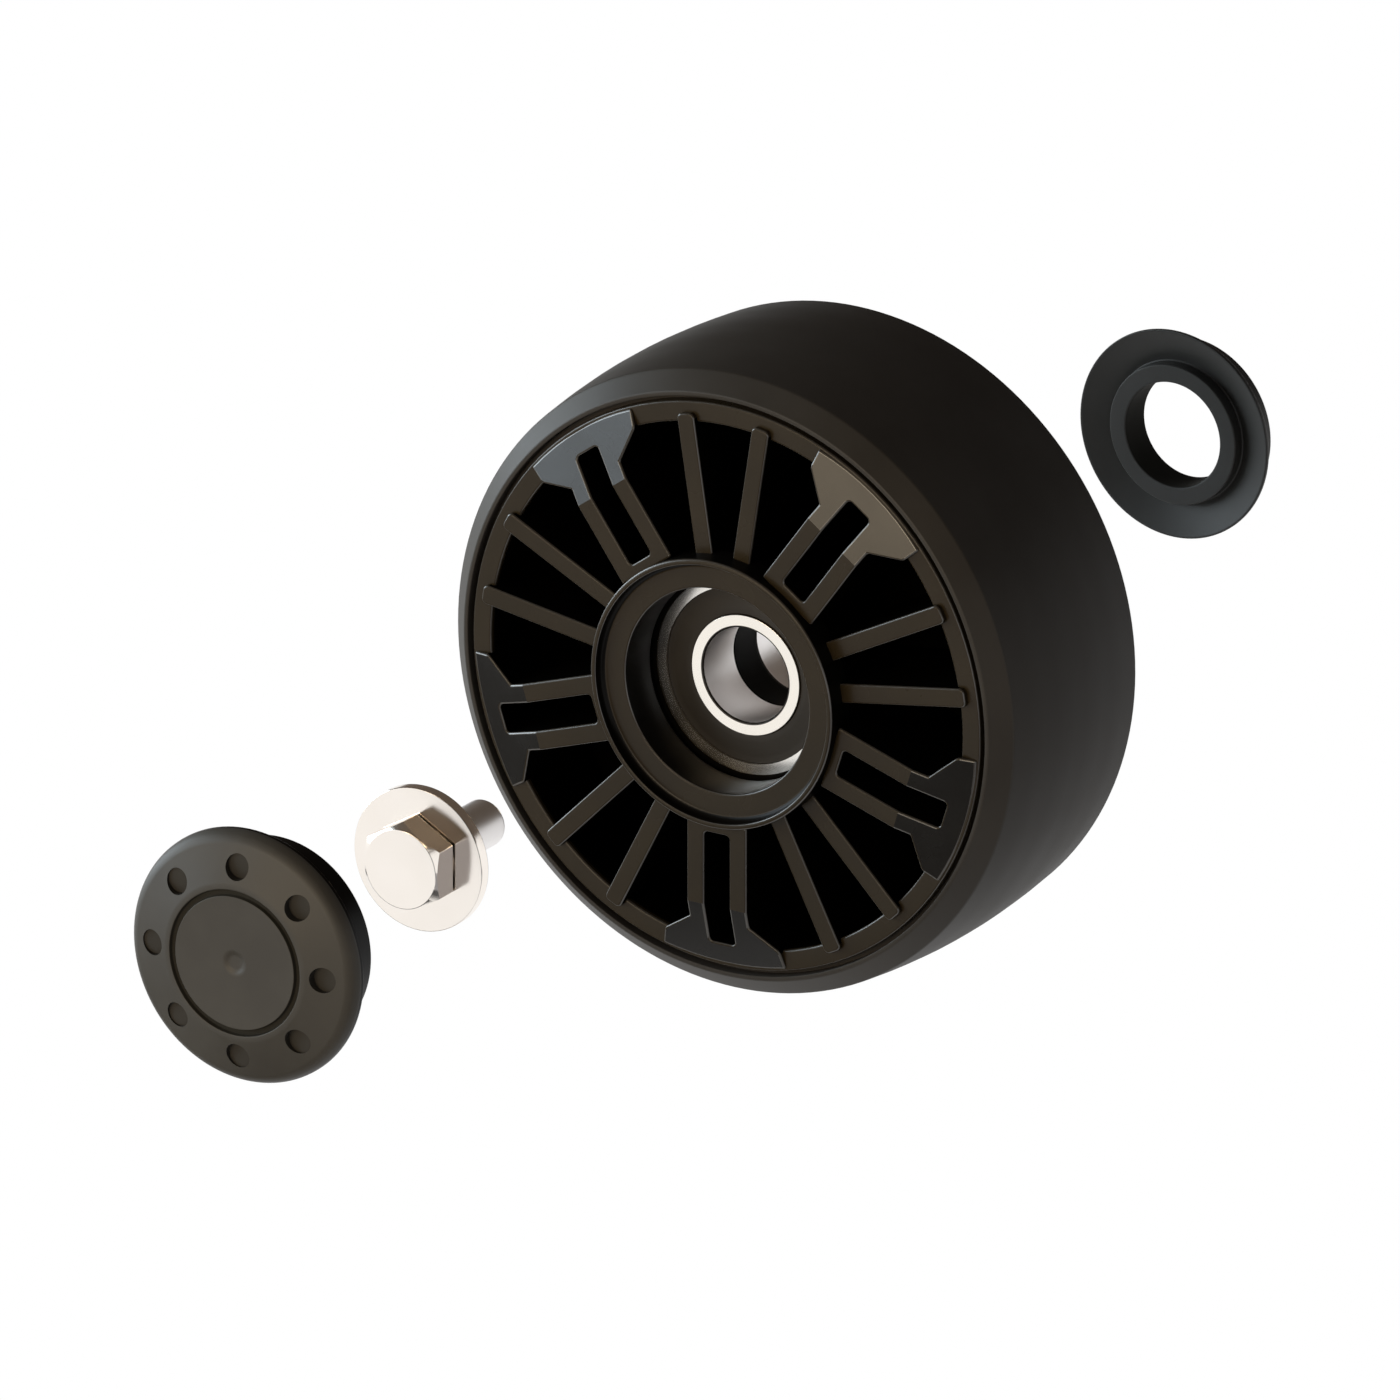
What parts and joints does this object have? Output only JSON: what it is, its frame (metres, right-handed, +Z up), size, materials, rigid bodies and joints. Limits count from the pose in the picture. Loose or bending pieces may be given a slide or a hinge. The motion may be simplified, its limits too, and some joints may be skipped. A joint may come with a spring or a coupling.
{
  "type": "track idler wheel",
  "caption": "Spoked plastic idler wheel with a rubber tyre for a track suspension, laid out along its axle line with hub cap, axle bolt, washer, sealed bearings and axle seal.",
  "frame": {"origin": "middle of the axle bore, halfway between the two bearings", "axes": "+Y along the axle line from the cap side to the seal side, +Z up, +X to the right seen from the cap side"},
  "size_m": [0.134, 0.3615, 0.134],
  "materials": {
    "core_plastic": "satin black moulding",
    "tyre_rubber": "matt moulded rubber",
    "bearing_steel": "ground",
    "shield_rubber": "matt",
    "cage_steel": "pressed sheet",
    "ball_steel": "polished",
    "spacer_plastic": "matt",
    "cap_plastic": "satin",
    "bolt_steel": "bright plated",
    "washer_steel": "bright plated",
    "seal_rubber": "matt"
  },
  "bodies": {
    "axle_side": {"bearing_spacer": "spacer_plastic", "front_bearing_inner_ring": "bearing_steel", "rear_bearing_inner_ring": "bearing_steel"},
    "wheel": {"wheel_core": "core_plastic", "tyre": "tyre_rubber", "front_bearing_outer_ring": "bearing_steel", "front_bearing_front_shield": "shield_rubber", "front_bearing_rear_shield": "shield_rubber", "rear_bearing_outer_ring": "bearing_steel", "rear_bearing_front_shield": "shield_rubber", "rear_bearing_rear_shield": "shield_rubber"},
    "front_cage": {"front_bearing_front_cage_half": "cage_steel", "front_bearing_rear_cage_half": "cage_steel", "front_bearing_balls": "ball_steel"},
    "rear_cage": {"rear_bearing_front_cage_half": "cage_steel", "rear_bearing_rear_cage_half": "cage_steel", "rear_bearing_balls": "ball_steel"},
    "bolt": {"axle_bolt": "bolt_steel", "washer": "washer_steel"},
    "cap": {"hub_cap": "cap_plastic"},
    "seal": {"axle_seal": "seal_rubber"}
  },
  "joints": [
    {"name": "wheel_spin", "type": "hinge", "parent": "axle_side", "child": "wheel", "pos_m": [0, 0, 0], "axis": [0, 1, 0], "continuous": true},
    {"name": "front_cage_spin", "type": "hinge", "parent": "axle_side", "child": "front_cage", "pos_m": [0, 0, 0], "axis": [0, 1, 0], "continuous": true},
    {"name": "rear_cage_spin", "type": "hinge", "parent": "axle_side", "child": "rear_cage", "pos_m": [0, 0, 0], "axis": [0, 1, 0], "continuous": true},
    {"name": "bolt_slide", "type": "slide", "parent": "axle_side", "child": "bolt", "axis": [0, 1, 0], "range_m": [0, 0.1197]},
    {"name": "cap_slide", "type": "slide", "parent": "wheel", "child": "cap", "axis": [0, 1, 0], "range_m": [0, 0.1725]},
    {"name": "seal_slide", "type": "slide", "parent": "wheel", "child": "seal", "axis": [0, -1, 0], "range_m": [0, 0.1321]}
  ],
  "couplings": [
    {"joint": "front_cage_spin", "follows": "wheel_spin", "ratio": 0.60242},
    {"joint": "rear_cage_spin", "follows": "wheel_spin", "ratio": 0.60242},
    {"joint": "cap_slide", "follows": "bolt_slide", "ratio": 1.4403}
  ]
}
